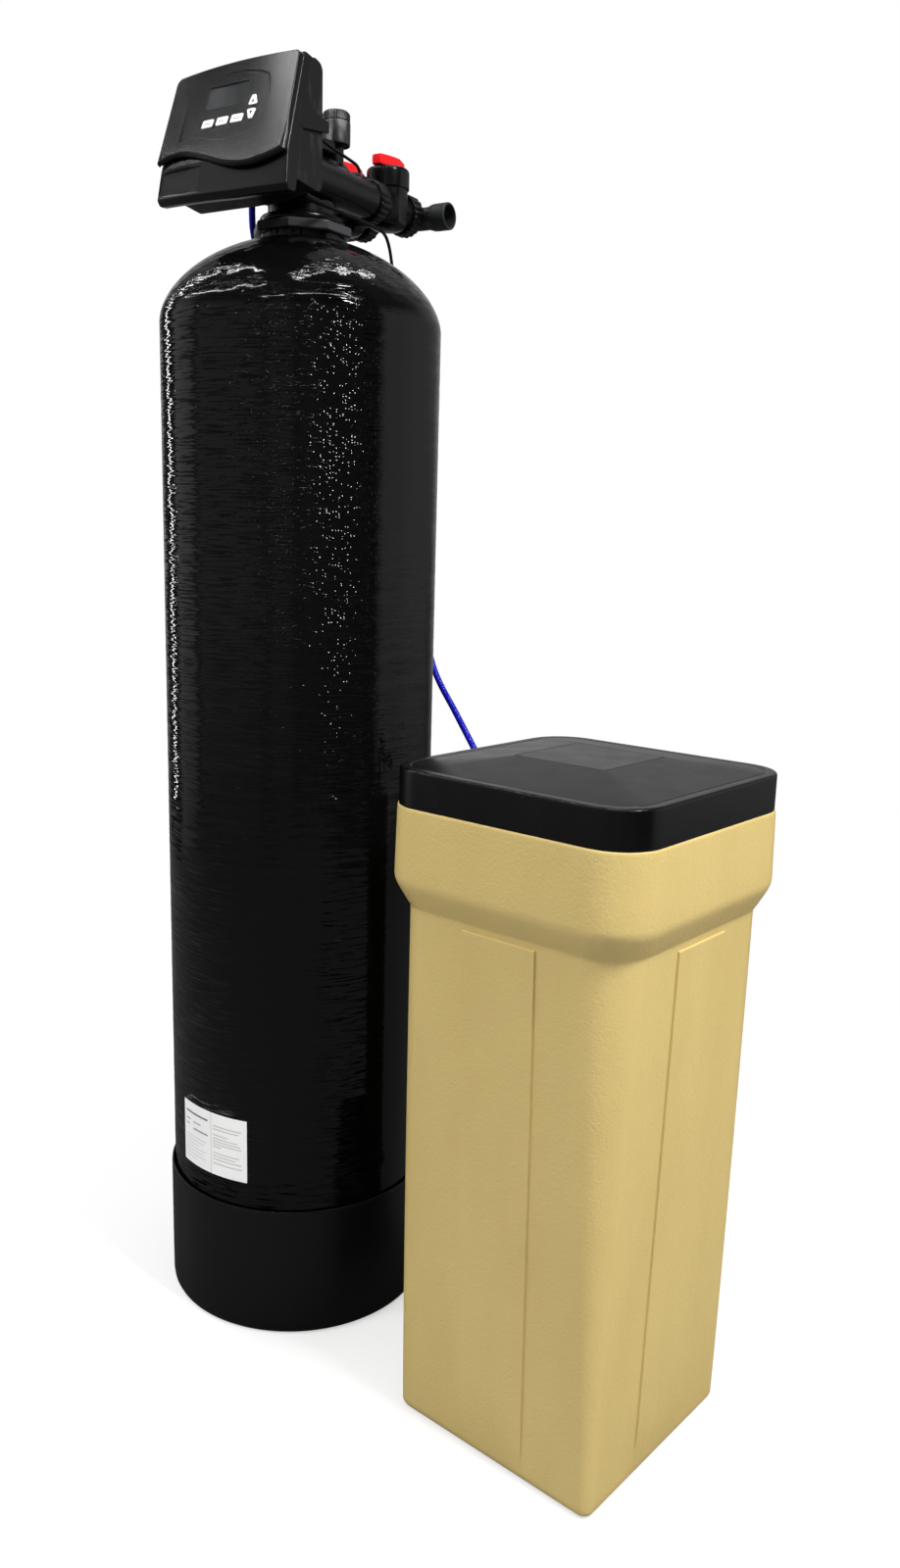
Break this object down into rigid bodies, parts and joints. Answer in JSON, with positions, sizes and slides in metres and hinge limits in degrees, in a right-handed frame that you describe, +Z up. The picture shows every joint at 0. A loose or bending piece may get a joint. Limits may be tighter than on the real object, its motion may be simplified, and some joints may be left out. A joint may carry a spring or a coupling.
{
  "type": "water softener",
  "caption": "Upright water softener: black pressure tank with electronic control head and bypass valve, beside a square tan brine tank with a black lift-off lid.",
  "frame": {"origin": "on the floor, on the axis of the pressure tank", "axes": "+Z up along the tank axis, -Y the way the control head faces, +X towards the brine tank"},
  "size_m": [0.7755, 0.4741, 1.4827],
  "materials": {
    "wound_resin": "gloss",
    "black_plastic": "satin",
    "grey_plastic": "satin",
    "white_plastic": "satin",
    "label": "matte",
    "tan_plastic": "satin",
    "lid_plastic": "gloss",
    "red_plastic": "gloss",
    "blue_tube": "gloss",
    "cord": "matte",
    "lens": "gloss",
    "display": "gloss",
    "board": "satin",
    "steel": "brushed",
    "brass": "machined",
    "resin_beads": "matte",
    "gravel": "matte"
  },
  "bodies": {
    "frame": {"tank_shell": "wound_resin", "tank_boot": "grey_plastic", "neck_insert": "grey_plastic", "riser_tube": "white_plastic", "bottom_strainer": "white_plastic", "gravel_bed": "gravel", "resin_bed": "resin_beads", "top_strainer": "white_plastic", "tank_label": "label", "tank_collar": "grey_plastic", "valve_body": "black_plastic", "spacer_stack": "grey_plastic", "drive_cap": "grey_plastic", "motor": "steel", "drive_bracket": "grey_plastic", "front_case": "black_plastic", "face_plate": "black_plastic", "display_window": "lens", "display_module": "display", "circuit_board": "board", "injector_cap": "black_plastic", "injector": "white_plastic", "drain_elbow": "black_plastic", "refill_elbow": "black_plastic", "meter_plug": "grey_plastic", "meter_cable": "cord", "bypass_body_near": "black_plastic", "bypass_body_far": "black_plastic", "bypass_caps": "black_plastic", "port_nuts": "black_plastic", "outlet_nuts": "black_plastic", "elbow_near": "grey_plastic", "elbow_far": "grey_plastic", "brine_tank": "tan_plastic", "salt_grid": "black_plastic", "brine_well": "white_plastic", "well_cap": "white_plastic", "float_valve": "white_plastic", "brine_link": "white_plastic", "brine_bulkhead": "black_plastic", "overflow_elbow": "black_plastic", "brine_tube": "blue_tube", "power_lead": "cord", "power_adapter": "black_plastic"},
    "main_piston": {"main_piston": "white_plastic"},
    "main_gear": {"main_gear": "white_plastic"},
    "reduction_gear": {"reduction_gear": "white_plastic"},
    "motor_pinion": {"motor_pinion": "brass"},
    "turbine": {"meter_turbine": "white_plastic"},
    "bypass_near": {"rotor_near": "white_plastic", "handle_near": "red_plastic"},
    "bypass_far": {"rotor_far": "white_plastic", "handle_far": "red_plastic"},
    "key_left": {"button_left": "white_plastic"},
    "key_middle": {"button_middle": "white_plastic"},
    "key_right": {"button_right": "white_plastic"},
    "key_up": {"button_up": "white_plastic"},
    "key_down": {"button_down": "white_plastic"},
    "lid": {"brine_lid": "lid_plastic"},
    "float": {"float_rod": "white_plastic"}
  },
  "joints": [
    {"name": "main_gear_turn", "type": "hinge", "parent": "frame", "child": "main_gear", "pos_m": [0, -0.088, 1.396], "axis": [0, 1, 0], "range_deg": [0, 360]},
    {"name": "piston_stroke", "type": "slide", "parent": "frame", "child": "main_piston", "axis": [0, -1, 0], "range_m": [0, 0.02]},
    {"name": "reduction_gear_turn", "type": "hinge", "parent": "frame", "child": "reduction_gear", "pos_m": [0.026, -0.09, 1.427], "axis": [0, 1, 0], "range_deg": [-1080, 0]},
    {"name": "motor_pinion_turn", "type": "hinge", "parent": "frame", "child": "motor_pinion", "pos_m": [0.008, -0.09, 1.445], "axis": [0, 1, 0], "range_deg": [0, 4320]},
    {"name": "turbine_spin", "type": "hinge", "parent": "frame", "child": "turbine", "pos_m": [0.032, 0.06, 1.386], "axis": [0, 1, 0], "continuous": true},
    {"name": "bypass_near_turn", "type": "hinge", "parent": "frame", "child": "bypass_near", "pos_m": [0.032, 0.13, 1.386], "axis": [0, 0, 1], "range_deg": [-90, 0]},
    {"name": "bypass_far_turn", "type": "hinge", "parent": "frame", "child": "bypass_far", "pos_m": [-0.032, 0.13, 1.386], "axis": [0, 0, 1], "range_deg": [0, 90]},
    {"name": "key_left_press", "type": "slide", "parent": "frame", "child": "key_left", "axis": [0, 0.9542, -0.299], "range_m": [0, 0.0015], "stiffness_N_per_m": 400},
    {"name": "key_middle_press", "type": "slide", "parent": "frame", "child": "key_middle", "axis": [0, 0.9542, -0.299], "range_m": [0, 0.0015], "stiffness_N_per_m": 400},
    {"name": "key_right_press", "type": "slide", "parent": "frame", "child": "key_right", "axis": [0, 0.9542, -0.299], "range_m": [0, 0.0015], "stiffness_N_per_m": 400},
    {"name": "key_up_press", "type": "slide", "parent": "frame", "child": "key_up", "axis": [0, 0.9542, -0.299], "range_m": [0, 0.0015], "stiffness_N_per_m": 400},
    {"name": "key_down_press", "type": "slide", "parent": "frame", "child": "key_down", "axis": [0, 0.9542, -0.299], "range_m": [0, 0.0015], "stiffness_N_per_m": 400},
    {"name": "lid_lift", "type": "slide", "parent": "frame", "child": "lid", "axis": [0, 0, 1], "range_m": [0, 0.3]},
    {"name": "float_rise", "type": "slide", "parent": "frame", "child": "float", "axis": [0, 0, 1], "range_m": [0, 0.02]}
  ],
  "couplings": [
    {"joint": "piston_stroke", "follows": "main_gear_turn", "m_per_rad": 0.0031831},
    {"joint": "reduction_gear_turn", "follows": "main_gear_turn", "ratio": -3},
    {"joint": "motor_pinion_turn", "follows": "main_gear_turn", "ratio": 12}
  ]
}
